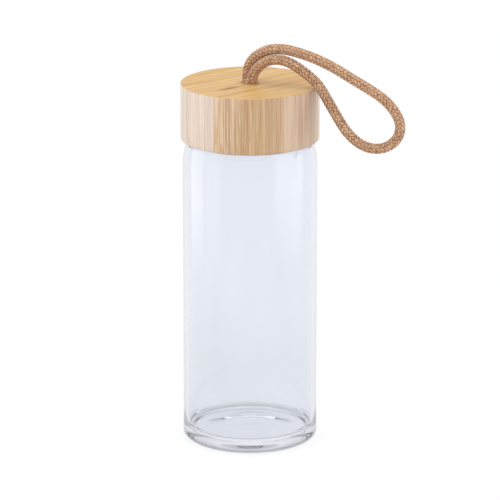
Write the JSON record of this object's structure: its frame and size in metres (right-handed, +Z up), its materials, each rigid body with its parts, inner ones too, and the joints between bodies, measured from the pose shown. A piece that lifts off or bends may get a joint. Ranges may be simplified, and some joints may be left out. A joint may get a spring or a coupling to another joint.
{
  "type": "glass water bottle",
  "caption": "Clear glass water bottle with a threaded neck, a bamboo screw cap with plastic liner and silicone seal, and a knotted braided cord loop for carrying.",
  "frame": {"origin": "centre of the base, on the surface the bottle stands on", "axes": "+Z up along the bottle's axis; the cord loop lies over the cap's rim towards +X"},
  "size_m": [0.1106, 0.066, 0.1945],
  "materials": {
    "clear_glass": "clear, polished, faint cool tint",
    "silicone": "matt translucent silicone",
    "liner_plastic": "moulded natural polypropylene, satin",
    "bamboo_side": "turned bamboo, upright fibres, satin lacquer",
    "bamboo_top": "long-grain bamboo disc, satin lacquer",
    "cord": "braided cotton, tan and brown heather"
  },
  "bodies": {
    "bottle": {"glass_body": "clear_glass"},
    "seal_carrier": {"sealing_ring": "silicone"},
    "cap": {"bamboo_cap_shell": "bamboo_side", "top_veneer": "bamboo_top", "thread_liner": "liner_plastic"},
    "knot": {"cord_knot": "cord"},
    "loop": {"carry_cord": "cord"}
  },
  "joints": [
    {"name": "cap_lift", "type": "slide", "parent": "bottle", "child": "seal_carrier", "axis": [0, 0, 1], "range_m": [0, 0.016]},
    {"name": "cap_turn", "type": "hinge", "parent": "seal_carrier", "child": "cap", "pos_m": [0, 0, 0.16], "axis": [0, 0, 1], "range_deg": [0, 1440]},
    {"name": "loop_swivel", "type": "hinge", "parent": "cap", "child": "knot", "pos_m": [0, 0, 0.175], "axis": [0, 0, 1], "continuous": true},
    {"name": "loop_lift", "type": "hinge", "parent": "knot", "child": "loop", "pos_m": [0, 0, 0.175], "axis": [0, -1, 0], "range_deg": [0, 90], "deforming": ["carry_cord"]}
  ],
  "couplings": [
    {"joint": "cap_lift", "follows": "cap_turn", "m_per_rad": 0.00063661}
  ]
}
